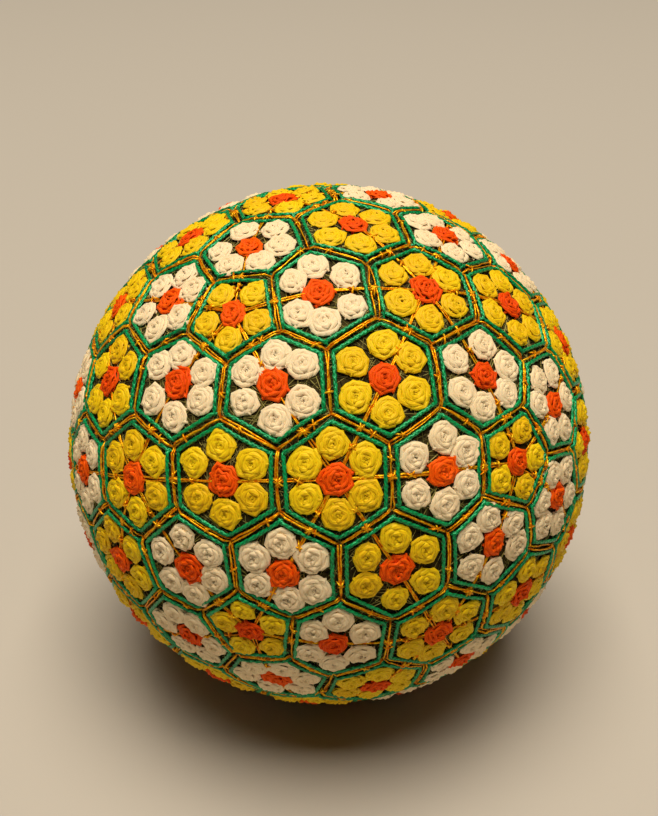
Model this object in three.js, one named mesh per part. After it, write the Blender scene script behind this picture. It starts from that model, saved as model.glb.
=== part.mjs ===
// A temari: a thread-wound ball whose whole surface is stitched with six- and five-sided
// cells. Every cell holds a flower of raised thread rosettes inside a raised thread outline.
// Millimetres, +Z up, origin at the middle of the small flat spot that the ball rests on.
import * as THREE from "three";
import { mergeVertices } from "three/addons/utils/BufferGeometryUtils.js";

// Driving dimensions
const BALL_RADIUS = 60; // over the crowns of the rosettes
const ROSETTE_HEIGHT = 1.5; // crown of a rosette above the wound thread
const OUTLINE_THREAD = 1.0; // thickness of the thread that outlines a cell
const OUTLINE_INSET = 1.2; // from a cell's edge to the middle of its outline thread
const TOP_RADIUS = 2.0; // from a rosette's middle to the three points of its flat top
const PRESSED_IN = 1.8; // how far the flat spot is pressed in from the ball's own round

// Places in a flower, as shares of the way from the cell's middle to its corner or side
const PETAL_AT = 0.54; // middle of a petal, on the way to a corner
const INNER_GAP_AT = 0.346; // gap between the heart and two petals, on the way to a side

// How the stitched layout lies on the ball
const RING_SHARE = 0.445; // ring cells, on the way from a five-sided cell to a face middle
const SPIN = THREE.MathUtils.degToRad(14.2); // about the layout's own upright axis
const LEAN = THREE.MathUtils.degToRad(-30); // then about the part's Y axis

// Worked-out sizes
const WOUND_RADIUS = BALL_RADIUS - ROSETTE_HEIGHT;
const CENTRE_HEIGHT = BALL_RADIUS - PRESSED_IN;
const NEIGHBOUR_ANGLE = THREE.MathUtils.degToRad(25); // cells nearer than this share a side
const SAME_DIRECTION = 1e-3; // two cell middles nearer than this are one and the same
const FOOT_INSET = OUTLINE_INSET + OUTLINE_THREAD / 2; // inner foot of the outline thread

const between = (a, b) => new THREE.Vector3().addVectors(a, b).normalize();

// The point a share of the way along the arc from one direction to another.
function alongArc(from, to, share) {
  const axis = new THREE.Vector3().crossVectors(from, to).normalize();
  return from.clone().applyAxisAngle(axis, share * from.angleTo(to));
}

// Directions of all cell middles. They follow an icosahedron: a five-sided cell on each
// vertex, a six-sided one on each edge and face, and a ring of them around each vertex.
function cellMiddles() {
  const frame = new THREE.IcosahedronGeometry(1).getAttribute("position");
  const turn = new THREE.Euler(0, LEAN, SPIN, "XYZ");
  const middles = [];
  const add = (direction) => {
    if (!middles.some((other) => other.distanceTo(direction) < SAME_DIRECTION)) middles.push(direction);
  };
  for (let corner = 0; corner < frame.count; corner += 3) {
    const vertices = [0, 1, 2].map((i) =>
      new THREE.Vector3().fromBufferAttribute(frame, corner + i).normalize().applyEuler(turn),
    );
    const face = vertices.reduce((sum, v) => sum.add(v), new THREE.Vector3()).normalize();
    vertices.forEach((vertex, i) => {
      add(vertex);
      add(between(vertex, vertices[(i + 1) % 3]));
      add(alongArc(vertex, face, RING_SHARE));
    });
    add(face);
  }
  return middles;
}

// The direction that lies equally far from three cell middles.
function sharedCorner(a, b, c) {
  const normal = new THREE.Vector3().crossVectors(b.clone().sub(a), c.clone().sub(a)).normalize();
  return normal.dot(a) < 0 ? normal.negate() : normal;
}

// The direction a distance away from another, at a bearing from the way to a third.
function stepAside(from, towards, bearing, distance) {
  const tangent = towards.clone().projectOnPlane(from).normalize().applyAxisAngle(from, bearing);
  const angle = distance / WOUND_RADIUS;
  return from.clone().multiplyScalar(Math.cos(angle)).addScaledVector(tangent, Math.sin(angle));
}

// Cells as { middle, corners, sides }, with the corners anticlockwise seen from outside.
function layOutCells() {
  const cells = cellMiddles().map((middle) => ({ middle, corners: [] }));
  const near = (a, b) => a.middle.angleTo(b.middle) < NEIGHBOUR_ANGLE;
  cells.forEach((a, i) =>
    cells.slice(i + 1).forEach((b, j) => {
      if (!near(a, b)) return;
      for (const c of cells.slice(i + j + 2)) {
        if (!near(a, c) || !near(b, c)) continue;
        const corner = sharedCorner(a.middle, b.middle, c.middle);
        for (const cell of [a, b, c]) cell.corners.push(corner);
      }
    }),
  );
  for (const cell of cells) {
    const across = cell.corners[0].clone().projectOnPlane(cell.middle).normalize();
    const up = new THREE.Vector3().crossVectors(cell.middle, across);
    const bearing = (v) => Math.atan2(v.dot(up), v.dot(across));
    cell.corners.sort((p, q) => bearing(p) - bearing(q));
    cell.sides = cell.corners.map((p, k) => between(p, cell.corners[(k + 1) % cell.corners.length]));
  }
  return cells;
}

// A point of the surface in the part's frame. What would reach below the resting surface
// is pressed flat against it.
function surfacePoint(direction, height) {
  const point = direction.clone().multiplyScalar(WOUND_RADIUS + height);
  point.z = Math.max(0, point.z + CENTRE_HEIGHT);
  return point;
}

// The three points of a rosette's flat top, the first of them on the way to a neighbour.
function rosetteTop(crown, towards) {
  const third = (2 * Math.PI) / 3;
  return [0, third, 2 * third].map((bearing) =>
    surfacePoint(stepAside(crown, towards, bearing, TOP_RADIUS), ROSETTE_HEIGHT),
  );
}

// The triangles of a rosette, from the points around its foot up to its flat top.
function rosetteTriangles(foot, top) {
  const nearestTop = foot.map((point, i) => {
    const middle = point.clone().lerp(foot[(i + 1) % foot.length], 0.5);
    const distances = top.map((corner) => corner.distanceTo(middle));
    return top[distances.indexOf(Math.min(...distances))];
  });
  const triangles = [top];
  foot.forEach((point, i) => {
    const next = (i + 1) % foot.length;
    triangles.push([point, foot[next], nearestTop[i]]);
    if (nearestTop[next] !== nearestTop[i]) {
      triangles.push([foot[next], nearestTop[next], nearestTop[i]]);
    }
  });
  return triangles;
}

// The triangles of one cell: its heart, its petals, its outline thread and half the furrow
// to the next cell.
function cellTriangles({ middle, corners, sides }) {
  const count = corners.length;
  const apothem = ((middle.angleTo(sides[0]) + middle.angleTo(sides[1])) / 2) * WOUND_RADIUS;
  const ring = (targets, share, height) =>
    targets.map((target) => surfacePoint(alongArc(middle, target, share), height));
  const innerGaps = ring(sides, INNER_GAP_AT, 0);
  const outerGaps = ring(sides, 1 - FOOT_INSET / apothem, 0);
  const foot = ring(corners, 1 - FOOT_INSET / apothem, 0);
  const crest = ring(corners, 1 - OUTLINE_INSET / apothem, OUTLINE_THREAD);
  const edge = corners.map((corner) => surfacePoint(corner, 0));

  const triangles = rosetteTriangles(innerGaps, rosetteTop(middle, sides[0]));
  for (let k = 0; k < count; k++) {
    const next = (k + 1) % count;
    const last = (k + count - 1) % count;
    const petalFoot = [innerGaps[last], outerGaps[last], foot[k], outerGaps[k], innerGaps[k]];
    const petalTop = rosetteTop(alongArc(middle, corners[k], PETAL_AT), middle);
    triangles.push(...rosetteTriangles(petalFoot, petalTop));
    triangles.push([foot[k], crest[k], outerGaps[k]]);
    triangles.push([outerGaps[k], crest[k], crest[next]]);
    triangles.push([outerGaps[k], crest[next], foot[next]]);
    triangles.push([crest[k], edge[k], edge[next]]);
    triangles.push([crest[k], edge[next], crest[next]]);
  }
  return triangles;
}

// The whole stitched ball as one closed surface.
function stitchedBall() {
  const points = layOutCells().flatMap(cellTriangles).flat();
  const surface = mergeVertices(new THREE.BufferGeometry().setFromPoints(points));
  surface.computeVertexNormals();
  const thread = new THREE.MeshStandardMaterial({ color: 0xe0b020, roughness: 0.75, metalness: 0 });
  const ball = new THREE.Mesh(surface, thread);
  ball.name = "stitched_ball";
  return ball;
}

const temari = new THREE.Group();
temari.add(stitchedBall());

export default temari;
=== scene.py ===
"""A temari ball, dressed thread by thread around its solid.

The wound ball, its metallic marking threads, the green outline of every cell and all the woven
rosettes are real strands of thread, swept from arrays. Shapes are worked out in millimetres
about the ball's centre, and become metres in the part's frame when a mesh is made.
"""

from __future__ import annotations

import logging
import math
from abc import ABC, abstractmethod
from dataclasses import dataclass, field
from enum import Enum
from itertools import combinations

import bmesh
import bpy
import numpy as np
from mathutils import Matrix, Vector

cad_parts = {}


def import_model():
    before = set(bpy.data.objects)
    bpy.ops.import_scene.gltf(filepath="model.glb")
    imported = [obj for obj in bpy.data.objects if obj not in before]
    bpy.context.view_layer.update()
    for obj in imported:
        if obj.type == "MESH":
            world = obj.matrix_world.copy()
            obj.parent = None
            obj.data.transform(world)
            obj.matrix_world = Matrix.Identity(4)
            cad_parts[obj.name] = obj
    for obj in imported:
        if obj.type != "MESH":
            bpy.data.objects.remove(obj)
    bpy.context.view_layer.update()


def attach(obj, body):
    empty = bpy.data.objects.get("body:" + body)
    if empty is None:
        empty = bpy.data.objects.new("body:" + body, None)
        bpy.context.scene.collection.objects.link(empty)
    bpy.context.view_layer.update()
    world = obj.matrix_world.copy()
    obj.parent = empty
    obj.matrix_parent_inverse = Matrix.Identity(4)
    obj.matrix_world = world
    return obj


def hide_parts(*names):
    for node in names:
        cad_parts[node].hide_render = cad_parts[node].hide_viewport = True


Array = np.ndarray
Tree = bpy.types.NodeTree
Socket = bpy.types.NodeSocket
Sockets = tuple[Socket, Socket]
Triple = tuple[float, float, float]
Range = tuple[float, float]
Rng = np.random.Generator
log = logging.getLogger("temari")

MM = 0.001
BODY = "root"
SOLID = "stitched_ball"
ANGLE_SLACK = 0.01  # for angles that are equal but for rounding

# Driving sizes of the ball, in millimetres
BALL_RADIUS = 60.0  # over the rosettes
ROSETTE_HEIGHT = 1.5
PRESSED_IN = 1.8  # how far the resting spot lies inside the round ball
WOUND_RADIUS = BALL_RADIUS - ROSETTE_HEIGHT
CENTRE_HEIGHT = BALL_RADIUS - PRESSED_IN
PRESS_DEPTH = 1.2  # what lies lower than this is squeezed towards the resting surface
OUTLINE_INSET = 1.2  # from a cell's edge to the middle of its outline thread
PETAL_AT = 0.54  # middle of a petal, as a share of the way to the cell's corner


def seeded(seed: int) -> Rng:
    """A field with a random source of its own, the same in every run."""
    return field(default_factory=lambda: np.random.default_rng(seed))


def unit(vectors: Array) -> Array:
    """Scales vectors to length one."""
    return vectors / np.linalg.norm(vectors, axis=-1, keepdims=True)


def smooth_step(x: Array) -> Array:
    """Eases from 0 to 1 while x goes from 0 to 1."""
    x = np.clip(x, 0.0, 1.0)
    return x * x * (3.0 - 2.0 * x)


def arc_angle(start: Array, end: Array) -> Array:
    """Angle between directions, with a last axis of one."""
    return np.arccos(np.clip(np.sum(start * end, axis=-1, keepdims=True), -1.0, 1.0))


def along_arc(start: Array, end: Array, share: Array | float) -> Array:
    """Finds directions on great-circle arcs.

    Args:
        start: Directions at share 0.
        end: Directions at share 1.
        share: How far along each arc, which may pass its ends.

    Returns:
        Directions of length one.
    """
    angle = arc_angle(start, end)
    mixed = np.sin((1.0 - share) * angle) * start + np.sin(share * angle) * end
    return unit(mixed)


def tangent_axes(normal: Array, towards: Array) -> tuple[Array, Array]:
    """Gives two axes across each normal, the first of them on the way towards a direction."""
    first = unit(towards - np.sum(towards * normal, axis=-1, keepdims=True) * normal)
    return first, np.cross(normal, first)


def settle(points: Array) -> Array:
    """Stands the ball on its resting spot.

    Args:
        points: Millimetre points about the ball's centre.

    Returns:
        Metre points in the part's frame, softly pressed flat underneath.
    """
    placed = points.copy()
    height = points[..., 2] + CENTRE_HEIGHT
    squeezed = PRESS_DEPTH * np.exp(np.minimum(height - PRESS_DEPTH, 0.0) / PRESS_DEPTH)
    placed[..., 2] = np.where(height < PRESS_DEPTH, squeezed, height)
    return placed * MM


def linear(hex_colour: str) -> tuple[float, float, float, float]:
    """Turns an sRGB hex colour into a linear one with full alpha."""
    channels = [int(hex_colour[i : i + 2], 16) / 255.0 for i in (1, 3, 5)]
    curve = [c / 12.92 if c <= 0.04045 else ((c + 0.055) / 1.055) ** 2.4 for c in channels]
    return (*curve, 1.0)


def add_node(
    tree: Tree, kind: str, inputs: dict | None = None, **settings: object
) -> bpy.types.Node:
    """Adds a shader node.

    Args:
        tree: The material's node tree.
        kind: The node's type name, after "ShaderNode".
        inputs: Input socket to a value, or to an output socket to link.
        settings: Properties of the node itself.

    Returns:
        The new node.
    """
    node = tree.nodes.new(f"ShaderNode{kind}")
    for name, value in settings.items():
        setattr(node, name, value)
    for socket, value in (inputs or {}).items():
        if isinstance(value, Socket):
            tree.links.new(value, node.inputs[socket])
        else:
            node.inputs[socket].default_value = value
    return node


class Petals(Enum):
    """The colour of a cell's petals."""

    WHITE = "white"
    YELLOW = "yellow"


class Place(Enum):
    """Where a cell lies on the icosahedron that the layout follows."""

    VERTEX = "vertex"
    EDGE = "edge"
    FACE = "face"
    RING = "ring around a vertex"


# Neighbours whose middles lie on one of the great circles that divide the ball
MARKED_NEIGHBOURS = (
    {Place.VERTEX, Place.RING},
    {Place.RING, Place.FACE},
    {Place.FACE, Place.EDGE},
)


@dataclass
class Cell:
    """One stitched cell: its middle, and its corners anticlockwise seen from outside."""

    middle: Array
    place: Place
    corner_ids: list[int] = field(default_factory=list)

    @property
    def petals(self) -> Petals:
        """The colour of its petals: white in the rings, yellow elsewhere."""
        return Petals.WHITE if self.place is Place.RING else Petals.YELLOW

    @property
    def five_sided(self) -> bool:
        """Whether this is one of the smaller, five-sided cells."""
        return len(self.corner_ids) == 5


@dataclass
class Layout:
    """The division of the ball into six- and five-sided cells, on an icosahedron."""

    ring_share: float = 0.445  # of the way from a vertex to the middle of a face
    spin: float = math.radians(14.2)
    lean: float = math.radians(-30.0)
    neighbour_angle: float = math.radians(25.0)  # cells whose middles are nearer share an edge
    unevenness: float = 0.35  # how far a hand-stitched cell strays, in millimetres
    rng: Rng = seeded(12)
    cells: list[Cell] = field(default_factory=list)
    corners: Array = field(default_factory=lambda: np.zeros((0, 3)))

    def build(self) -> Layout:
        """Works out the cells and their shared corners.

        Returns:
            This layout.
        """
        turn = self.turn()
        for place, middle in self.even_middles():
            strayed = turn @ middle + self.rng.normal(0.0, self.unevenness / WOUND_RADIUS, 3)
            self.cells.append(Cell(unit(strayed), place))
        self.find_corners()
        return self

    def turn(self) -> Array:
        """Rotation of the layout on the ball: spun about Z, then leaned about Y."""
        c, s = math.cos(self.spin), math.sin(self.spin)
        spin = np.array([[c, -s, 0.0], [s, c, 0.0], [0.0, 0.0, 1.0]])
        c, s = math.cos(self.lean), math.sin(self.lean)
        lean = np.array([[c, 0.0, s], [0.0, 1.0, 0.0], [-s, 0.0, c]])
        return lean @ spin

    def even_middles(self) -> list[tuple[Place, Array]]:
        """Lists the cell middles of an even layout, before it is turned.

        Returns:
            Pairs of place and direction.
        """
        golden = (1.0 + math.sqrt(5.0)) / 2.0
        first = [np.array([0.0, a, b * golden]) for a in (-1, 1) for b in (-1, 1)]
        vertices = unit(np.array([np.roll(v, shift) for shift in range(3) for v in first]))
        edge_angle = math.acos(1.0 / math.sqrt(5.0)) + ANGLE_SLACK
        joined = np.arccos(np.clip(vertices @ vertices.T, -1.0, 1.0)) < edge_angle
        found = [(Place.VERTEX, vertex) for vertex in vertices]
        for a, b in combinations(range(len(vertices)), 2):
            if joined[a, b]:
                found.append((Place.EDGE, unit(vertices[a] + vertices[b])))
        for face in combinations(range(len(vertices)), 3):
            if all(joined[a, b] for a, b in combinations(face, 2)):
                middle = unit(vertices[list(face)].sum(axis=0))
                found.append((Place.FACE, middle))
                for vertex in vertices[list(face)]:
                    found.append((Place.RING, along_arc(vertex, middle, self.ring_share)))
        return found

    def find_corners(self) -> None:
        """Finds each point that three neighbouring cells share, and sorts them around each cell."""
        middles = np.array([cell.middle for cell in self.cells])
        near = np.arccos(np.clip(middles @ middles.T, -1.0, 1.0)) < self.neighbour_angle
        corners = []
        for i in range(len(middles)):
            around = [j for j in range(i + 1, len(middles)) if near[i, j]]
            for j, k in combinations(around, 2):
                if near[j, k]:
                    normal = unit(np.cross(middles[j] - middles[i], middles[k] - middles[i]))
                    for cell in (i, j, k):
                        self.cells[cell].corner_ids.append(len(corners))
                    corners.append(normal * np.sign(normal @ middles[i]))
        self.corners = np.array(corners)
        for cell in self.cells:
            first, second = tangent_axes(cell.middle, self.corners[cell.corner_ids[0]])
            bearing = {
                c: math.atan2(self.corners[c] @ second, self.corners[c] @ first)
                for c in cell.corner_ids
            }
            cell.corner_ids.sort(key=bearing.__getitem__)

    def flowers(self, petals: Petals) -> list[Cell]:
        """The cells with petals of one colour."""
        return [cell for cell in self.cells if cell.petals is petals]

    def sides(self, cell: Cell) -> list[tuple[Array, Array]]:
        """Pairs of neighbouring corner directions around a cell."""
        ring = self.corners[cell.corner_ids]
        return list(zip(ring, np.roll(ring, -1, axis=0)))

    def apothem(self, cell: Cell) -> float:
        """Mean distance from a cell's middle to its sides, in millimetres."""
        middles = unit(np.array([a + b for a, b in self.sides(cell)]))
        return float(np.mean(arc_angle(cell.middle, middles)) * WOUND_RADIUS)

    def edges(self) -> list[tuple[int, int]]:
        """Corner pairs of all cell edges, each one once."""
        pairs = set()
        for cell in self.cells:
            ids = cell.corner_ids
            pairs.update(tuple(sorted(pair)) for pair in zip(ids, ids[1:] + ids[:1]))
        return sorted(pairs)

    def marked_lines(self) -> tuple[Array, Array, Array]:
        """Finds the lines between the middles of neighbours that a dividing thread joins.

        Returns:
            Both ends of each line, and the point where it crosses the shared edge.
        """
        lines = []
        for one, other in combinations(self.cells, 2):
            shared = set(one.corner_ids) & set(other.corner_ids)
            if len(shared) == 2 and {one.place, other.place} in MARKED_NEIGHBOURS:
                crossing = unit(self.corners[list(shared)].sum(axis=0))
                lines.append((one.middle, other.middle, crossing))
        starts, ends, crossings = zip(*lines)
        return np.array(starts), np.array(ends), np.array(crossings)


def path_lengths(paths: Array) -> Array:
    """Length along each path up to each point, with the way back to its start as the last step."""
    steps = np.linalg.norm(np.roll(paths, -1, axis=1) - paths, axis=-1)
    return np.concatenate([np.zeros((len(paths), 1)), np.cumsum(steps, axis=1)], axis=1)


@dataclass
class Strands:
    """Strands of thread that follow many paths with the same number of points.

    Attributes:
        paths: Strand, point and coordinate, in millimetres about the ball's centre.
        radii: Half thickness of each strand at each point.
        sides: Sides of the section.
        tints: A value for each strand, which its finish reads.
        closed: Whether each strand joins its own start.
        flatness: Height of the section as a share of its width.
        softness: How much the shading leans outwards from the ball, as loose fibres make it.
    """

    paths: Array
    radii: Array
    sides: int
    tints: Array
    closed: bool = False
    flatness: float = 1.0
    softness: float = 0.0

    def around(self, flatness: float) -> Array:
        """Finds the section around each point of the strands.

        Args:
            flatness: Height of the section as a share of its width.

        Returns:
            Offsets for a half thickness of one, as strand, point, side and coordinate.
        """
        ahead = np.roll(self.paths, -1, axis=1) - np.roll(self.paths, 1, axis=1)
        if not self.closed:
            ahead[:, 0] = self.paths[:, 1] - self.paths[:, 0]
            ahead[:, -1] = self.paths[:, -1] - self.paths[:, -2]
        along = unit(ahead)
        outward, across = tangent_axes(along, self.paths)
        turn = 2.0 * np.pi * np.arange(self.sides) / self.sides
        upward = flatness * np.cos(turn)
        return outward[:, :, None] * upward[:, None] + across[:, :, None] * np.sin(turn)[:, None]

    def vertices(self) -> Array:
        """Points of all sections, as strand, point, side and coordinate."""
        return self.paths[:, :, None] + self.radii[:, :, None, None] * self.around(self.flatness)

    def normals(self) -> Array:
        """Shading normals at the same points."""
        return unit(self.around(1.0) + self.softness * unit(self.paths)[:, :, None])

    def walls(self) -> tuple[Array, Array]:
        """Finds the quads along all strands.

        Returns:
            Vertex numbers of each quad, and the length and turn at each of its corners.
        """
        strands, points, sides = len(self.paths), self.paths.shape[1], self.sides
        index = np.arange(strands * points * sides).reshape(strands, points, sides)
        here = index if self.closed else index[:, :-1]
        ahead = np.roll(index, -1, axis=1) if self.closed else index[:, 1:]
        quads = np.stack([here, np.roll(here, -1, 2), np.roll(ahead, -1, 2), ahead], axis=-1)
        lengths = path_lengths(self.paths)
        spans = here.shape[1]
        low = np.broadcast_to(lengths[:, :spans, None], here.shape)
        high = np.broadcast_to(lengths[:, 1 : spans + 1, None], here.shape)
        left = np.broadcast_to(np.arange(sides) / sides, here.shape)
        right = left + 1.0 / sides
        uvs = np.stack([low, left, low, right, high, right, high, left], axis=-1)
        return quads.reshape(-1, 4), uvs.reshape(-1, 2)

    def caps(self) -> tuple[Array, Array]:
        """Finds the faces that close the ends of open strands.

        Returns:
            Vertex numbers of each end, and the length and turn at each of its corners.
        """
        strands, points, sides = len(self.paths), self.paths.shape[1], self.sides
        index = np.arange(strands * points * sides).reshape(strands, points, sides)
        faces = np.concatenate([index[:, 0, ::-1], index[:, -1]])
        lengths = path_lengths(self.paths)
        ends = np.concatenate([lengths[:, 0], lengths[:, points - 1]])
        turns = np.full((len(faces), sides), 0.5)
        uvs = np.stack([np.repeat(ends[:, None], sides, axis=1), turns], axis=-1)
        return faces, uvs.reshape(-1, 2)


def strand_piece(name: str, groups: list[Strands]) -> bpy.types.Object:
    """Joins strands into one mesh piece.

    Args:
        name: The piece's name.
        groups: Strands of one or more kinds.

    Returns:
        A linked object with a "thread" UV map, in millimetres along and turns around, and a
        "tint" attribute.
    """
    points, loops, totals, uvs, tints = [], [], [], [], []
    count = 0
    for group in groups:
        vertices = group.vertices()
        faces = [group.walls()] if group.closed else [group.walls(), group.caps()]
        for corner_ids, corner_uvs in faces:
            loops.append(corner_ids.ravel() + count)
            totals.append(np.full(len(corner_ids), corner_ids.shape[1]))
            uvs.append(corner_uvs)
        points.append(vertices.reshape(-1, 3))
        tints.append(np.repeat(group.tints, vertices.shape[1] * vertices.shape[2]))
        count += len(points[-1])
    total = np.concatenate(totals)
    loop = np.concatenate(loops)
    mesh = bpy.data.meshes.new(name)
    mesh.vertices.add(count)
    mesh.vertices.foreach_set("co", settle(np.concatenate(points)).astype(np.float32).ravel())
    mesh.loops.add(len(loop))
    mesh.loops.foreach_set("vertex_index", loop.astype(np.int32))
    mesh.polygons.add(len(total))
    mesh.polygons.foreach_set("loop_start", (np.cumsum(total) - total).astype(np.int32))
    mesh.update(calc_edges=True)
    uv_map = mesh.uv_layers.new(name="thread")
    uv_map.data.foreach_set("uv", np.concatenate(uvs).astype(np.float32).ravel())
    tint = mesh.attributes.new("tint", "FLOAT", "POINT")
    tint.data.foreach_set("value", np.concatenate(tints).astype(np.float32))
    mesh.validate()
    if any(group.softness for group in groups):
        normals = np.concatenate([group.normals().reshape(-1, 3) for group in groups])
        mesh.normals_split_custom_set_from_vertices(normals)
    piece = bpy.data.objects.new(name, mesh)
    bpy.context.scene.collection.objects.link(piece)
    return piece


@dataclass(frozen=True)
class StitchPath:
    """How a straight stitch lies between two points of the ball, in millimetres."""

    points: int
    height: float  # of the thread's middle line above the wound ball
    overshoot: float  # how far the stitch passes both points
    dip: float  # length at each end over which the thread goes down into the ball
    sink: float = 0.5  # depth of its ends

    def lay(self, start: Array, end: Array, sideways: Array, lift: Array) -> Array:
        """Lays one stitch for each pair of directions.

        Args:
            start: Directions where the stitches come up.
            end: Directions where they go down.
            sideways: Distance of each point from the straight line.
            lift: Extra height of each point.

        Returns:
            Paths as stitch, point and coordinate.
        """
        start, end = start[:, None], end[:, None]
        length = arc_angle(start, end) * WOUND_RADIUS
        share = np.linspace(0.0, 1.0, self.points)[:, None]
        reach = share * (length + 2.0 * self.overshoot)
        direction = along_arc(start, end, (reach - self.overshoot) / length)
        side = unit(np.cross(start, end))
        from_tip = np.minimum(reach, length + 2.0 * self.overshoot - reach)[..., 0]
        up = smooth_step(from_tip / self.dip)
        height = up * (self.height + lift) - (1.0 - up) * self.sink
        flat = unit(direction * WOUND_RADIUS + side * sideways[..., None])
        return flat * (WOUND_RADIUS + height)[..., None]


@dataclass(frozen=True)
class Finish(ABC):
    """What all finishes of thread share: two tones and a relief, drawn along and around it, the
    tone partly following the relief as painted shade and light.
    """

    name: str
    # the light tone is partly painted light on crests, the dark one partly painted shade in
    # hollows, besides the thread's own tones
    light: str
    dark: str
    roughness: float
    relief: float  # depth of the pattern, in millimetres
    bump: float  # how strongly that depth shows
    grain: Triple  # how often the noise changes along, around and by tint
    detail: float
    harshness: float
    limits: Range  # values of the pattern that get the dark tone and the light one

    @abstractmethod
    def surface(self) -> dict[str, object]:
        """Settings of the surface that only this kind of thread has."""

    @abstractmethod
    def pattern(self, tree: Tree, along: Socket, around: Socket, tint: Socket) -> Sockets:
        """Adds the nodes that draw the thread.

        Args:
            tree: The material's node tree.
            along: Length along the strand, in millimetres.
            around: Turn around it, from 0 to 1.
            tint: The strand's own value.

        Returns:
            The value that the tone follows, and the height of the relief.
        """

    def noise(self, tree: Tree, *place: Socket) -> Socket:
        """Adds noise that is stretched by the grain.

        Args:
            tree: The material's node tree.
            place: The coordinates of a point.

        Returns:
            The noise, from 0 to 1.
        """
        point = add_node(tree, "CombineXYZ", dict(enumerate(place)))
        stretch = {"Vector": point.outputs[0], "Scale": self.grain}
        stretched = add_node(tree, "Mapping", stretch)
        look = {"Scale": 1.0, "Detail": self.detail, "Roughness": self.harshness}
        noise = add_node(tree, "TexNoise", {"Vector": stretched.outputs[0], **look})
        return noise.outputs[0]

    def material(self) -> bpy.types.Material:
        """Makes the material.

        Returns:
            A node material that reads the "thread" UV map and the "tint" attribute.
        """
        material = bpy.data.materials.new(self.name)
        material.use_nodes = True
        tree = material.node_tree
        tree.nodes.clear()
        uv = add_node(tree, "UVMap", uv_map="thread")
        split = add_node(tree, "SeparateXYZ", {0: uv.outputs[0]})
        tint = add_node(tree, "Attribute", attribute_name="tint")
        value, height = self.pattern(tree, split.outputs[0], split.outputs[1], tint.outputs["Fac"])
        # The tone comes from the same pattern as the bump, so hollows of the plies and of the foil
        # get painted shade and their crests painted light.
        spread = {"Value": value, "From Min": self.limits[0], "From Max": self.limits[1]}
        tone = add_node(tree, "MapRange", spread)
        tones = {0: tone.outputs[0], 6: linear(self.dark), 7: linear(self.light)}
        colour = add_node(tree, "Mix", tones, data_type="RGBA")
        depth = {"Height": height, "Strength": self.bump, "Distance": self.relief * MM}
        bump = add_node(tree, "Bump", depth)
        drawn = {"Base Color": colour.outputs[2], "Normal": bump.outputs[0]}
        look = {**drawn, "Roughness": self.roughness, **self.surface()}
        shader = add_node(tree, "BsdfPrincipled", look)
        add_node(tree, "OutputMaterial", {"Surface": shader.outputs[0]})
        return material


@dataclass(frozen=True)
class ThreadFinish(Finish):
    """Mercerised embroidery cotton, spun and plied: soft, with a low gloss along its fibres.

    The plies show as painted shade and light along the thread, as well as in its bump, slanting
    more the tighter it is twisted, and single fibres show as streaks. Real fibres are too fine to
    show, so the streaks are coarser.
    """

    roughness: float = 0.6
    relief: float = 0.08
    bump: float = 0.7
    grain: Triple = (0.6, 9.0, 41.0)
    detail: float = 3.0
    harshness: float = 0.6
    limits: Range = (0.2, 1.1)
    refraction: float = 1.53  # of cotton
    gloss: float = 0.15
    gloss_tint: str = "#ffffff"  # light that glances off dyed fibres takes on some of the dye
    sheen: float = 0.06
    sheen_roughness: float = 0.5
    glow: float = 0.25  # share of the light that goes into the thread and comes out nearby
    spread: float = 0.3  # how far that light travels, in millimetres
    spread_by_colour: Triple = (1.0, 0.7, 0.5)  # red light goes furthest
    twist: float = 9.0  # length of one turn of the plies, in millimetres
    plies: float = 5.0
    ply_depth_and_shade: float = 0.5  # how much the plies show, as bump and as painted shade and light
    fibre_depth: float = 0.6  # how much the single fibres show
    tint_depth: float = 0.45  # how much the strand's own tint shows

    def surface(self) -> dict[str, object]:
        """Cotton's low gloss, the light that passes through it, and the sheen of loose fibres."""
        return {
            "IOR": self.refraction,
            "Specular IOR Level": self.gloss,
            "Specular Tint": linear(self.gloss_tint),
            "Subsurface Weight": self.glow,
            "Subsurface Radius": self.spread_by_colour,
            "Subsurface Scale": self.spread * MM,
            "Sheen Weight": self.sheen,
            "Sheen Roughness": self.sheen_roughness,
            "Sheen Tint": linear(self.light),
        }

    def pattern(self, tree: Tree, along: Socket, around: Socket, tint: Socket) -> Sockets:
        """Draws the plies and the fibres, with the arguments and results of every finish."""
        winding = {0: along, 1: 1.0 / self.twist, 2: around}
        turn = add_node(tree, "Math", winding, operation="MULTIPLY_ADD")
        plies = {0: turn.outputs[0], 1: 2.0 * math.pi * self.plies}
        phase = add_node(tree, "Math", plies, operation="MULTIPLY")
        wave = add_node(tree, "Math", {0: phase.outputs[0]}, operation="SINE")
        half = self.ply_depth_and_shade / 2.0
        furrows = {0: wave.outputs[0], 1: half, 2: half}
        ply = add_node(tree, "Math", furrows, operation="MULTIPLY_ADD")
        fibres = self.noise(tree, along, turn.outputs[0], tint)
        # The tone takes the plies' wave too: painted shade in their furrows and painted light on
        # their crests.
        both = {0: fibres, 1: self.fibre_depth, 2: ply.outputs[0]}
        relief = add_node(tree, "Math", both, operation="MULTIPLY_ADD")
        tinted = {0: tint, 1: self.tint_depth, 2: relief.outputs[0]}
        value = add_node(tree, "Math", tinted, operation="MULTIPLY_ADD")
        return value.outputs[0], relief.outputs[0]


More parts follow.
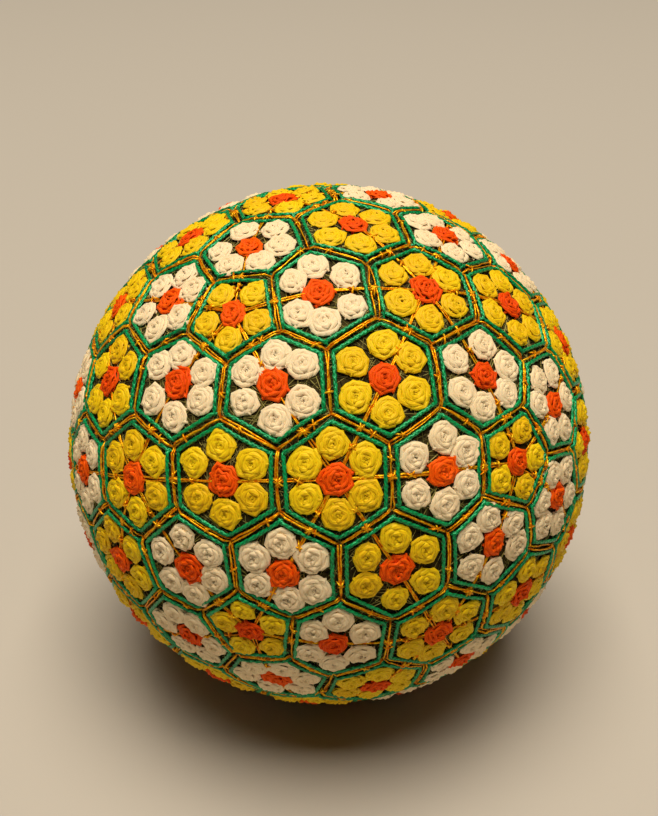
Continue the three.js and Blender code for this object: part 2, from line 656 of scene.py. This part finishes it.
@dataclass(frozen=True)
class FoilFinish(Finish):
    """Metallic thread: narrow foil wrapped round a cotton core, which shows between its turns.

    Each turn of foil catches the light on its own, so the thread glitters in short flecks: painted
    glints in its colour, on a darker ground that is partly the cotton core and partly painted
    shade, as well as bumps. Real ones are too fine to show, so they are drawn coarser.
    """

    roughness: float = 0.28
    relief: float = 0.12
    bump: float = 0.9
    grain: Triple = (1.1, 1.0, 57.0)
    detail: float = 2.0
    harshness: float = 0.7
    limits: Range = (0.44, 0.58)
    metal: float = 0.35  # share of the surface that is foil
    wrap: float = 0.9  # length of one turn of the foil, in millimetres

    def surface(self) -> dict[str, object]:
        """The foil's metal, with light of its own colour glancing off it."""
        return {"Metallic": self.metal, "Specular Tint": linear(self.light)}

    def pattern(self, tree: Tree, along: Socket, around: Socket, tint: Socket) -> Sockets:
        """Draws the flecks, as painted glints in the tone and as bump, with the arguments and
        results of every finish.
        """
        winding = {0: along, 1: 1.0 / self.wrap, 2: around}
        turn = add_node(tree, "Math", winding, operation="MULTIPLY_ADD")
        flecks = self.noise(tree, turn.outputs[0], around, tint)
        return flecks, flecks


WHITE = ThreadFinish("white_cotton", "#fae2b9", "#f3d8a9", relief=0.06)
YELLOW = ThreadFinish("yellow_cotton", "#f8d308", "#e2ac02", gloss=0.2)
ORANGE = ThreadFinish("orange_cotton", "#ff6404", "#d63000", gloss=0.1, sheen=0.02)
# Green's plies are painted strongly into its colour: slanting stripes of painted highlight and
# painted shade, from the light green to the near-black one.
GREEN = ThreadFinish(
    "green_cotton",
    "#00a65a",
    "#003c20",
    roughness=0.36,
    gloss=1.0,
    gloss_tint="#8cffc8",
    sheen=0.0,
    twist=2.0,
    plies=2.0,
    ply_depth_and_shade=0.7,
    limits=(0.2, 1.3),
    relief=0.1,
)
WOUND = ThreadFinish(
    "dark_winding_thread",
    "#b8ae60",
    "#281f0d",
    roughness=0.8,
    glow=0.0,
    ply_depth_and_shade=0.1,
    limits=(0.2, 0.7),
)
PADDING = ThreadFinish("dark_padding_thread", "#564a1c", "#221a0b", roughness=0.9, glow=0.0)
# Light tone: the foil's painted glints; dark tone: its cotton core and painted shade on the foil.
GOLD = FoilFinish("gold_foil_thread", "#ffca22", "#de7400")


def dress(piece: bpy.types.Object, finish: Finish) -> None:
    """Gives a piece its finish and its place in the frame.

    Args:
        piece: The piece.
        finish: Its material.
    """
    piece.data.materials.append(finish.material())
    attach(piece, BODY)
    log.info("%s: %d faces", piece.name, len(piece.data.polygons))


@dataclass
class WoundBall:
    """The ball itself: a firm core under many turns of fine dark thread."""

    turns: int = 450
    points: int = 38
    thread: float = 0.11  # half thickness of a winding, in millimetres
    sides: int = 3
    depths: Range = (-0.12, 0.08)  # of the windings about the ball, in millimetres
    tone_spread: float = 0.9  # how far their tints differ
    core_levels: int = 6
    rng: Rng = seeded(3)

    def build(self) -> None:
        """Makes the ball and its windings."""
        self.build_core()
        self.build_windings()

    def build_core(self) -> None:
        """Makes the round ball under the windings, in place of the solid."""
        shape = bmesh.new()
        radius = WOUND_RADIUS - 2.0 * self.thread
        bmesh.ops.create_icosphere(shape, subdivisions=self.core_levels, radius=radius)
        mesh = bpy.data.meshes.new("wound_ball")
        points = np.array([vertex.co for vertex in shape.verts])
        for vertex, place in zip(shape.verts, settle(points)):
            vertex.co = place
        shape.to_mesh(mesh)
        shape.free()
        mesh.shade_smooth()
        uv_map = mesh.uv_layers.new(name="thread")
        corner = np.zeros(len(mesh.loops), np.int32)
        mesh.loops.foreach_get("vertex_index", corner)
        bearing = np.arctan2(points[:, 1], points[:, 0]) * WOUND_RADIUS
        uvs = np.stack([bearing, points[:, 2]], axis=-1)[corner]
        uv_map.data.foreach_set("uv", uvs.astype(np.float32).ravel())
        core = bpy.data.objects.new("wound_ball", mesh)
        bpy.context.scene.collection.objects.link(core)
        dress(core, PADDING)
        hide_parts(SOLID)

    def build_windings(self) -> None:
        """Winds threads round the ball in all directions."""
        poles = unit(self.rng.normal(size=(self.turns, 3)))
        first, second = tangent_axes(poles, unit(self.rng.normal(size=(self.turns, 3))))
        angle = 2.0 * np.pi * np.arange(self.points) / self.points
        ring = first[:, None] * np.cos(angle)[:, None] + second[:, None] * np.sin(angle)[:, None]
        radius = WOUND_RADIUS + self.rng.uniform(*self.depths, (self.turns, 1, 1))
        radii = np.full((self.turns, self.points), self.thread)
        tints = self.rng.uniform(-self.tone_spread, self.tone_spread, self.turns)
        windings = Strands(ring * radius, radii, self.sides, tints, closed=True)
        dress(strand_piece("ball_windings", [windings]), WOUND)


@dataclass(frozen=True)
class Looseness:
    """How far the strands of a hand-laid pair stray from their line, in millimetres."""

    apart: float  # from the line to each strand
    slant: float  # at the ends, to opposite sides
    bow: float  # in the middle
    sway: float  # at any point
    lift: float  # upwards, all along
    wave: float  # up or down at any point


@dataclass
class MarkingThreads:
    """Metallic threads that divide the ball and edge the cells, held down by small tacks."""

    layout: Layout
    strand: float = 0.21  # half thickness, in millimetres
    strand_range: Range = (0.75, 1.15)  # of single strands, as shares of that
    sides: int = 4
    edge_path: StitchPath = StitchPath(points=9, height=0.3, overshoot=0.4, dip=0.5)
    edge_slack: Looseness = Looseness(0.15, slant=0.2, bow=0.15, sway=0.06, lift=0.35, wave=0.06)
    line_path: StitchPath = StitchPath(points=14, height=0.2, overshoot=0.0, dip=0.5)
    line_slack: Looseness = Looseness(0.18, slant=0.25, bow=0.0, sway=0.06, lift=0.15, wave=0.04)
    tack_path: StitchPath = StitchPath(points=5, height=0.75, overshoot=0.1, dip=0.45, sink=0.0)
    tack_half: Range = (0.6, 1.4)  # half length of a tack, in millimetres
    tack_turn: float = 0.2  # how far a tack turns from its even bearing, in radians
    tack_shift: float = 0.2  # and how far it slides along itself, in millimetres
    star: int = 5  # tacks where a dividing thread crosses an edge
    cross: int = 2  # and elsewhere
    edge_tack_at: Range = (0.2, 0.8)  # shares of the way along an edge
    petal_tack_at: Range = (0.5, 0.75)  # shares of the way from middle to edge
    tacked: float = 0.5  # share of the dividing threads' ends with a tack between two petals
    rng: Rng = seeded(7)

    def build(self) -> None:
        """Makes the edge threads, the dividing threads and the tacks over them."""
        starts, ends, crossings = self.layout.marked_lines()
        corners = self.layout.corners[np.array(self.layout.edges())]
        first, last = corners[:, 0], corners[:, 1]
        share = self.rng.uniform(*self.edge_tack_at, (len(corners), 1))
        along_edges = along_arc(first, last, share)
        groups = [
            self.pairs(first, last, self.edge_path, self.edge_slack),
            self.pairs(starts, ends, self.line_path, self.line_slack),
            self.tacks(crossings, self.star),
            self.tacks(along_edges, self.cross),
            self.tacks(self.between_petals(starts, ends, crossings), self.cross),
        ]
        dress(strand_piece("gold_markings", groups), GOLD)

    def between_petals(self, starts: Array, ends: Array, crossings: Array) -> Array:
        """Picks places on the dividing threads, inside the cells.

        Args:
            starts: Cell middles where the threads start.
            ends: Cell middles where they end.
            crossings: Where they cross the shared edges.

        Returns:
            Directions of the places.
        """
        middles = np.concatenate([starts, ends])
        share = self.rng.uniform(*self.petal_tack_at, (len(middles), 1))
        places = along_arc(middles, np.concatenate([crossings, crossings]), share)
        return places[self.rng.random(len(places)) < self.tacked]

    def strands(self, paths: Array) -> Strands:
        """Makes strands of this thread along paths."""
        thickness = self.rng.uniform(*self.strand_range, (len(paths), 1))
        radii = self.strand * thickness * np.ones(paths.shape[1])
        return Strands(paths, radii, self.sides, self.rng.uniform(0.0, 1.0, len(paths)))

    def pairs(self, starts: Array, ends: Array, path: StitchPath, loose: Looseness) -> Strands:
        """Lays two strands side by side along each line.

        Args:
            starts: Where the lines start.
            ends: Where they end.
            path: How a strand lies.
            loose: How far it strays.

        Returns:
            The strands.
        """
        count = 2 * len(starts)
        sideways = np.tile([-loose.apart, loose.apart], len(starts))[:, None]
        slant = self.rng.normal(0.0, loose.slant, (count, 1)) * np.linspace(-1.0, 1.0, path.points)
        sideways = sideways + slant
        if loose.bow:
            arch = np.sin(np.linspace(0.0, np.pi, path.points))
            sideways = sideways + self.rng.normal(0.0, loose.bow, (count, 1)) * arch
        sideways = sideways + self.rng.normal(0.0, loose.sway, sideways.shape)
        lift = self.rng.uniform(0.0, loose.lift, (count, 1))
        lift = lift + self.rng.normal(0.0, loose.wave, sideways.shape)
        twice = np.repeat(starts, 2, axis=0), np.repeat(ends, 2, axis=0)
        return self.strands(path.lay(*twice, sideways, lift))

    def tacks(self, places: Array, each: int) -> Strands:
        """Lays short stitches over the threads, several of which make a star.

        Args:
            places: Directions of the tacks.
            each: Stitches at each place.

        Returns:
            The strands.
        """
        count = len(places) * each
        first, second = (
            np.repeat(axis, each, axis=0)
            for axis in tangent_axes(places, unit(self.rng.normal(size=places.shape)))
        )
        bearing = np.tile(np.arange(each) * np.pi / each, len(places))
        bearing = bearing + self.rng.normal(0.0, self.tack_turn, count)
        aim = first * np.cos(bearing)[:, None] + second * np.sin(bearing)[:, None]
        shift = aim * self.rng.normal(0.0, self.tack_shift, (count, 1))
        middle = np.repeat(places, each, axis=0) * WOUND_RADIUS + shift
        half = aim * self.rng.uniform(*self.tack_half, (count, 1))
        flat = np.zeros((count, self.tack_path.points))
        laid = self.tack_path.lay(unit(middle - half), unit(middle + half), flat, flat)
        return self.strands(laid)


@dataclass
class OutlineThreads:
    """A thick two-ply thread stitched straight along every side of every cell."""

    layout: Layout
    ply: float = 0.33  # half thickness of one ply, in millimetres
    ply_offset: float = 0.12  # from the thread's middle line to a ply's
    twist: float = 3.6  # length of one full turn of the plies
    softness: float = 0.4  # how softly its loose fibres are shaded
    sides: int = 4
    path: StitchPath = StitchPath(points=15, height=0.5, overshoot=0.5, dip=0.8)
    slant: float = 0.1  # how far a side strays at its ends, to opposite sides
    bow: float = 0.14  # and in its middle
    ends_lift: Range = (-0.12, 0.16)  # each side starts under the last one's end
    rng: Rng = seeded(21)

    def build(self) -> None:
        """Makes the outlines of the white flowers and of the yellow ones."""
        for petals in Petals:
            outline = self.outline(self.layout.flowers(petals))
            dress(strand_piece(f"{petals.value}_flower_outlines", [outline]), GREEN)

    def outline(self, cells: list[Cell]) -> Strands:
        """Lays both plies along all sides of some cells.

        Args:
            cells: The cells to outline.

        Returns:
            The strands of both plies.
        """
        starts, ends = [], []
        for cell in cells:
            share = 1.0 - OUTLINE_INSET / self.layout.apothem(cell)
            for a, b in self.layout.sides(cell):
                starts.append(along_arc(cell.middle, a, share))
                ends.append(along_arc(cell.middle, b, share))
        start, end = np.array(starts), np.array(ends)
        count = len(start)
        points = self.path.points
        arch = np.sin(np.linspace(0.0, np.pi, points))
        slant = self.rng.normal(0.0, self.slant, (count, 1)) * np.linspace(-1.0, 1.0, points)
        sideways = self.rng.normal(0.0, self.bow, (count, 1)) * arch + slant
        lift = np.linspace(*self.ends_lift, points) * np.ones((count, 1))
        middle = self.path.lay(start, end, sideways, lift)
        turn = 2.0 * np.pi * path_lengths(middle)[:, :-1] / self.twist
        turn = turn + self.rng.uniform(0.0, 2.0 * np.pi, (count, 1))
        along = unit(np.gradient(middle, axis=1))
        outward, across = tangent_axes(along, middle)
        swing = outward * np.cos(turn)[..., None] + across * np.sin(turn)[..., None]
        plies = np.concatenate([middle + swing * self.ply_offset, middle - swing * self.ply_offset])
        radii = np.full(plies.shape[:2], self.ply)
        tints = self.rng.uniform(0.0, 1.0, len(plies))
        return Strands(plies, radii, self.sides, tints, softness=self.softness)


@dataclass(frozen=True)
class RosetteStyle:
    """The sizes of one kind of woven rosette, in millimetres."""

    radius: float  # mean radius of the outermost turn, over the thread
    thread: float  # half thickness of the thread
    hollow: float  # radius of the dimple in the middle
    weave: float  # how far the thread goes up and down over the spokes
    crown: float  # height of the thread's middle line at the top
    rim: float  # and at the outermost turn
    corner: float  # how far the outermost turns are drawn out at the spokes, as a share
    tip: float  # how far the spokes reach past the outermost turn
    uneven: float  # how far the outline strays from even, as a share
    rough: float  # how far the thread strays from its own line
    softness: float  # how softly its loose fibres are shaded
    outer_steps: int  # of the outer turns, two from spoke to spoke


@dataclass(frozen=True)
class Weaving:
    """How every rosette is woven, in millimetres, radians and shares of its reach."""

    spokes: int = 7
    sides: int = 4
    inner_steps: int = 10  # of the inner turns, one from spoke to spoke
    size_spread: float = 0.05  # how far a rosette strays from its even size
    room: float = 0.09  # how much wider than even it may be
    shift: float = 0.15  # how far past a spoke the outer turns start, in steps
    last_turn: float = 1.9 * math.pi  # over which the outermost turn keeps its reach
    tucked: int = 3  # points over which the thread's end goes down under the rim
    tuck_in: float = 0.4  # how far inwards it goes there
    swing: float = 0.05  # how far a point strays along its turn
    least_hollow: float = 0.5  # smallest part of the dimple's radius
    corner_power: float = 1.5  # how late the corners grow on the way outwards
    slide: float = 0.45  # how far outwards the thread lies over a spoke, next to how high
    dimple: Range = (0.05, 0.35)  # where its slope starts, and how wide it is
    dimple_depth: float = 0.3
    slope: Range = (0.45, 0.55)  # where the way down to the rim starts, and how wide it is
    weave_spread: float = 0.2  # how far the weave's height differs
    flatness: float = 0.7  # of the thread's section
    fuller: float = 0.15  # how much thicker the thread is over a spoke
    thick_spread: float = 0.08  # how far its thickness strays
    thin_middle: Range = (0.12, 0.4)  # how much thinner the inner turns are, and up to where
    thin_end: float = 0.4  # how much thinner the tucked end is
    spoke_shares: Triple = (0.12, 1.0, 1.05)  # where a laid spoke's points are
    spoke_depth: float = 0.35  # of its inner end, under the crown
    spoke_sink: float = 0.2  # of its outer end, in the wound ball
    spoke_swing: float = 0.06  # how far its bearing strays
    spoke_tips: Range = (0.5, 1.5)  # of single spokes, next to the style's tip
    tip_power: int = 4  # so that only the outer end reaches further
    spoke_thickness: Range = (0.7, 0.95)  # of single spokes, next to the thread's
    spoke_taper: Triple = (1.0, 1.0, 0.8)


@dataclass
class Rosettes:
    """Rosettes woven round laid spokes, over one and under the next."""

    name: str
    style: RosetteStyle
    finish: ThreadFinish
    slot: str
    middles: Array
    towards: Array
    sizes: Array
    rng: Rng
    weaving: Weaving = Weaving()

    def build(self) -> None:
        """Makes all rosettes of this kind as one piece, and the spokes under them as another."""
        starts = self.rng.uniform(0.0, 2.0 * np.pi, (len(self.middles), 1))
        reach = self.spoke_reach()
        windings = self.windings(starts, reach)
        spokes = self.laid_spokes(starts, reach)
        dress(strand_piece(self.name, [windings]), self.finish)
        dress(strand_piece(f"{self.name}_spokes", [spokes]), self.finish)

    def place(self, angle: Array, radius: Array, height: Array) -> Array:
        """Finds points around each rosette's middle.

        Args:
            angle: Bearing of each point.
            radius: Its distance from the middle.
            height: Its height above the wound ball.

        Returns:
            Paths as rosette, point and coordinate.
        """
        first, second = tangent_axes(self.middles, self.towards)
        flat = (
            self.middles[:, None] * WOUND_RADIUS
            + first[:, None] * (radius * np.cos(angle))[..., None]
            + second[:, None] * (radius * np.sin(angle))[..., None]
        )
        return unit(flat) * (WOUND_RADIUS + height)[..., None]

    def spoke_reach(self) -> Array:
        """Finds how far out the outermost turn lies at each spoke.

        Returns:
            Radii as rosette and spoke.
        """
        style, weaving, count = self.style, self.weaving, len(self.middles)
        even = (style.radius - style.thread) * self.sizes[:, None]
        bearing = 2.0 * np.pi * np.arange(weaving.spokes) / weaving.spokes
        phase = self.rng.uniform(0.0, 2.0 * np.pi, (count, 1))
        oval = self.rng.normal(0.0, style.uneven, (count, 1)) * np.cos(2.0 * bearing + phase)
        ragged = self.rng.normal(0.0, style.uneven, (count, weaving.spokes))
        stray = self.rng.normal(0.0, weaving.size_spread, (count, 1)) + oval + ragged
        return even * (1.0 + np.minimum(stray, weaving.room))

    def between_spokes(self, turn: Array, reach: Array) -> Array:
        """Eases the reach from spoke to spoke.

        Args:
            turn: Angle of each point from its rosette's first spoke.
            reach: Radius of the outermost turn at each spoke.

        Returns:
            Radius of the outermost turn at the bearing of each point.
        """
        spokes = self.weaving.spokes
        place = turn * spokes / (2.0 * np.pi)
        spoke = np.floor(place).astype(int)
        here = np.take_along_axis(reach, spoke % spokes, axis=1)
        ahead = np.take_along_axis(reach, (spoke + 1) % spokes, axis=1)
        return here + (ahead - here) * smooth_step(place - spoke)

    def windings(self, starts: Array, reach: Array) -> Strands:
        """Weaves one thread outwards for each rosette.

        Args:
            starts: Bearing of each rosette's first spoke.
            reach: Radius of its outermost turn at each spoke.

        Returns:
            The strands, one for each rosette.
        """
        style, weaving, count = self.style, self.weaving, len(self.middles)
        spoke_angle = 2.0 * np.pi / weaving.spokes
        steps = [spoke_angle] * weaving.inner_steps + [spoke_angle / 2.0] * style.outer_steps
        point = np.arange(1 + len(steps))
        points = len(point)
        shift = self.rng.uniform(0.0, weaving.shift, (count, 1)) * spoke_angle
        turn = np.cumsum([0.0] + steps) + shift * (point > weaving.inner_steps)

        def vary(spread: float, width: int = 1) -> Array:
            """Numbers around zero for each rosette."""
            return self.rng.normal(0.0, spread, (count, width))

        def ease(start: float, width: float) -> Array:
            """Eases from 0 to 1 on the way outwards."""
            return smooth_step((share - start) / width)

        weave = np.cos(turn * weaving.spokes / 2.0)
        share = np.minimum(turn / (turn[:, -1:] - weaving.last_turn), 1.0)
        tuck = smooth_step((point - points + 1 + weaving.tucked) / weaving.tucked)
        angle = turn + starts + vary(weaving.swing, points)
        hollow = style.hollow * (weaving.least_hollow + np.abs(vary(1.0)))
        corners = np.cos(turn * weaving.spokes) * share**weaving.corner_power
        outermost = self.between_spokes(turn, reach)
        radius = (hollow + (outermost - hollow) * share) * (1.0 + style.corner * corners)
        radius = radius + vary(style.rough, points)
        radius = radius + weaving.slide * style.weave * weave * share - weaving.tuck_in * tuck
        height = style.crown - weaving.dimple_depth * (1.0 - ease(*weaving.dimple))
        height = height - (style.crown - style.rim) * ease(*weaving.slope)
        height = height + style.weave * weave * (1.0 + vary(weaving.weave_spread))
        height = height + vary(style.rough, points)
        paths = self.place(angle, radius, height * (1.0 - tuck))
        thinner, until = weaving.thin_middle
        thin = thinner * (1.0 - ease(0.0, until)) + weaving.thin_end * tuck
        full = 1.0 + weaving.fuller * weave + vary(weaving.thick_spread, points)
        radii = style.thread * full * (1.0 - thin)
        tints = self.rng.uniform(0.0, 1.0, count)
        look = {"flatness": weaving.flatness, "softness": style.softness}
        return Strands(paths, radii, weaving.sides, tints, **look)

    def laid_spokes(self, starts: Array, reach: Array) -> Strands:
        """Lays the spokes, which start under the middle and show at the rosette's corners.

        Args:
            starts: Bearing of each rosette's first spoke.
            reach: Radius of its outermost turn at each spoke.

        Returns:
            The strands, one for each spoke.
        """
        style, weaving, count = self.style, self.weaving, len(self.middles)
        shares = np.array(weaving.spoke_shares)
        height = np.array([style.crown - weaving.spoke_depth, style.rim, -weaving.spoke_sink])
        heights = height * np.ones((count, 1))
        paths = []
        for spoke in range(weaving.spokes):
            bearing = starts + 2.0 * np.pi * spoke / weaving.spokes
            bearing = bearing + self.rng.normal(0.0, weaving.spoke_swing, (count, 1))
            tip = style.tip * self.rng.uniform(*weaving.spoke_tips, (count, 1))
            radius = reach[:, spoke : spoke + 1] * shares + tip * shares**weaving.tip_power
            paths.append(self.place(bearing * np.ones(len(shares)), radius, heights))
        laid = np.concatenate(paths)
        thickness = self.rng.uniform(*weaving.spoke_thickness, (len(laid), 1))
        radii = style.thread * thickness * np.array(weaving.spoke_taper)
        tints = self.rng.uniform(0.0, 1.0, len(laid))
        return Strands(laid, radii, weaving.sides, tints, softness=style.softness)


PETAL = RosetteStyle(
    radius=3.16,
    thread=0.52,
    hollow=0.14,
    weave=0.16,
    crown=0.85,
    rim=0.35,
    corner=0.035,
    tip=0.1,
    uneven=0.05,
    rough=0.08,
    softness=0.8,
    outer_steps=50,
)
HEART = RosetteStyle(
    radius=3.2,
    thread=0.42,
    hollow=0.12,
    weave=0.22,
    crown=0.85,
    rim=0.35,
    corner=0.05,
    tip=0.18,
    uneven=0.06,
    rough=0.15,
    softness=0.5,
    outer_steps=64,
)


@dataclass
class Flowers:
    """All petals and hearts, a petal at each corner of a cell and a heart in its middle."""

    layout: Layout
    stray: float = 0.16  # how far a petal strays from its even place, in millimetres
    five_sided_size: float = 0.9  # of the rosettes in five-sided cells, as a share
    rng: Rng = seeded(5)
    heart_seed: int = 2

    def build(self) -> None:
        """Makes the white petals, the yellow petals and the orange hearts."""
        finishes = {Petals.WHITE: WHITE, Petals.YELLOW: YELLOW}
        for seed, (petals, finish) in enumerate(finishes.items()):
            places = self.petals(self.layout.flowers(petals))
            names = (f"{petals.value}_petals", f"{petals.value}_thread")
            rng = np.random.default_rng(seed)
            Rosettes(names[0], PETAL, finish, names[1], *places, rng=rng).build()
        middles = np.array([cell.middle for cell in self.layout.cells])
        aims = np.array([self.layout.corners[cell.corner_ids[0]] for cell in self.layout.cells])
        sizes = np.array([self.size(cell) for cell in self.layout.cells])
        hearts = (middles, aims, sizes)
        rng = np.random.default_rng(self.heart_seed)
        Rosettes("orange_hearts", HEART, ORANGE, "orange_thread", *hearts, rng=rng).build()

    def size(self, cell: Cell) -> float:
        """Size of a cell's rosettes: the five-sided cells are smaller."""
        return self.five_sided_size if cell.five_sided else 1.0

    def petals(self, cells: list[Cell]) -> tuple[Array, Array, Array]:
        """Places the petals of some cells.

        Args:
            cells: The cells.

        Returns:
            The petals' middles, the directions of their cells' middles and their sizes.
        """
        middles, aims, sizes = [], [], []
        for cell in cells:
            for corner in self.layout.corners[cell.corner_ids]:
                middles.append(along_arc(cell.middle, corner, PETAL_AT))
                aims.append(cell.middle)
                sizes.append(self.size(cell))
        stray = self.rng.normal(0.0, self.stray / WOUND_RADIUS, (len(middles), 3))
        return unit(np.array(middles) + stray), np.array(aims), np.array(sizes)


@dataclass
class Studio:
    """A plain pale floor, a soft light, and the camera at the photograph's angle."""

    picture: tuple[int, int] = (658, 816)
    ball_at: Range = (329.0, 441.8)  # the ball's centre, in pixels
    ball_span: float = 523.0  # the ball's width, in pixels
    distance: float = 4.4  # of the camera from the ball's centre, in ball radii
    elevation: float = math.radians(31.7)
    sensor: float = 36.0  # in millimetres
    clip_start: float = 0.01  # in metres, as are the sizes below
    light_elevation: float = math.radians(84.0)
    light_distance: float = 4.0
    light_size: float = 2.6
    light_power: float = 226.0  # in watts
    light_colour: str = "#fff4e4"
    room_colour: str = "#e8e6e2"
    room_strength: float = 0.03
    backdrop_colour: str = "#c8bfb0"
    floor_size: float = 8.0
    floor_colour: str = "#b9b2a6"
    floor_roughness: float = 0.85

    def build(self) -> None:
        """Makes the camera, the light and its room, and the floor."""
        self.build_camera()
        self.build_lights()
        self.build_floor()

    def build_camera(self) -> None:
        """Places the camera so that the ball has its place and size in the picture."""
        focal = self.ball_span / 2.0 * math.sqrt(self.distance**2 - 1.0)
        camera = bpy.data.objects.new("camera", bpy.data.cameras.new("camera"))
        camera.data.sensor_width = self.sensor
        camera.data.lens = focal / max(self.picture) * self.sensor
        camera.data.clip_start = self.clip_start
        back = Vector((0.0, -math.cos(self.elevation), math.sin(self.elevation)))
        centre = Vector((0.0, 0.0, CENTRE_HEIGHT)) * MM
        reach = self.distance * BALL_RADIUS * MM
        camera.location = centre + back * reach
        level_up = Vector((0.0, math.sin(self.elevation), math.cos(self.elevation)))
        right, down = (self.ball_at[i] - self.picture[i] / 2.0 for i in (0, 1))
        aim = centre + (level_up * down - Vector((1.0, 0.0, 0.0)) * right) * (reach / focal)
        camera.rotation_euler = (aim - camera.location).to_track_quat("-Z", "Y").to_euler()
        bpy.context.scene.collection.objects.link(camera)
        bpy.context.scene.camera = camera

    def build_lights(self) -> None:
        """Hangs one large warm light high above, in a dim even room with a pale backdrop."""
        light = bpy.data.lights.new("soft_box", "AREA")
        light.size = self.light_size
        light.energy = self.light_power
        light.color = linear(self.light_colour)[:3]
        lamp = bpy.data.objects.new("soft_box", light)
        towards = Vector((0.0, -math.cos(self.light_elevation), math.sin(self.light_elevation)))
        lamp.location = Vector((0.0, 0.0, CENTRE_HEIGHT * MM)) + towards * self.light_distance
        lamp.rotation_euler = (-towards).to_track_quat("-Z", "Y").to_euler()
        bpy.context.scene.collection.objects.link(lamp)
        world = bpy.data.worlds.new("room")
        world.use_nodes = True
        tree = world.node_tree
        tree.nodes.clear()
        path = add_node(tree, "LightPath")
        dim = {"Color": linear(self.room_colour), "Strength": self.room_strength}
        lit = add_node(tree, "Background", dim)
        pale = {"Color": linear(self.backdrop_colour), "Strength": 1.0}
        seen = add_node(tree, "Background", pale)
        both = {0: path.outputs["Is Camera Ray"], 1: lit.outputs[0], 2: seen.outputs[0]}
        room = add_node(tree, "MixShader", both)
        add_node(tree, "OutputWorld", {"Surface": room.outputs[0]})
        bpy.context.scene.world = world
        bpy.context.scene.view_settings.view_transform = "Standard"

    def build_floor(self) -> None:
        """Lays the floor that the ball stands on."""
        shape = bmesh.new()
        bmesh.ops.create_grid(shape, x_segments=1, y_segments=1, size=self.floor_size / 2.0)
        mesh = bpy.data.meshes.new("floor")
        shape.to_mesh(mesh)
        shape.free()
        material = bpy.data.materials.new("pale_paper")
        material.use_nodes = True
        shader = material.node_tree.nodes["Principled BSDF"]
        shader.inputs["Base Color"].default_value = linear(self.floor_colour)
        shader.inputs["Roughness"].default_value = self.floor_roughness
        mesh.materials.append(material)
        floor = bpy.data.objects.new("floor", mesh)
        bpy.context.scene.collection.objects.link(floor)


def main() -> None:
    """Builds the studio, then the ball from the inside out."""
    logging.basicConfig(level=logging.INFO, format="%(name)s: %(message)s")
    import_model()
    Studio().build()
    layout = Layout().build()
    log.info("%d cells, %d corners", len(layout.cells), len(layout.corners))
    WoundBall().build()
    MarkingThreads(layout).build()
    OutlineThreads(layout).build()
    Flowers(layout).build()


if __name__ == "__main__":
    main()
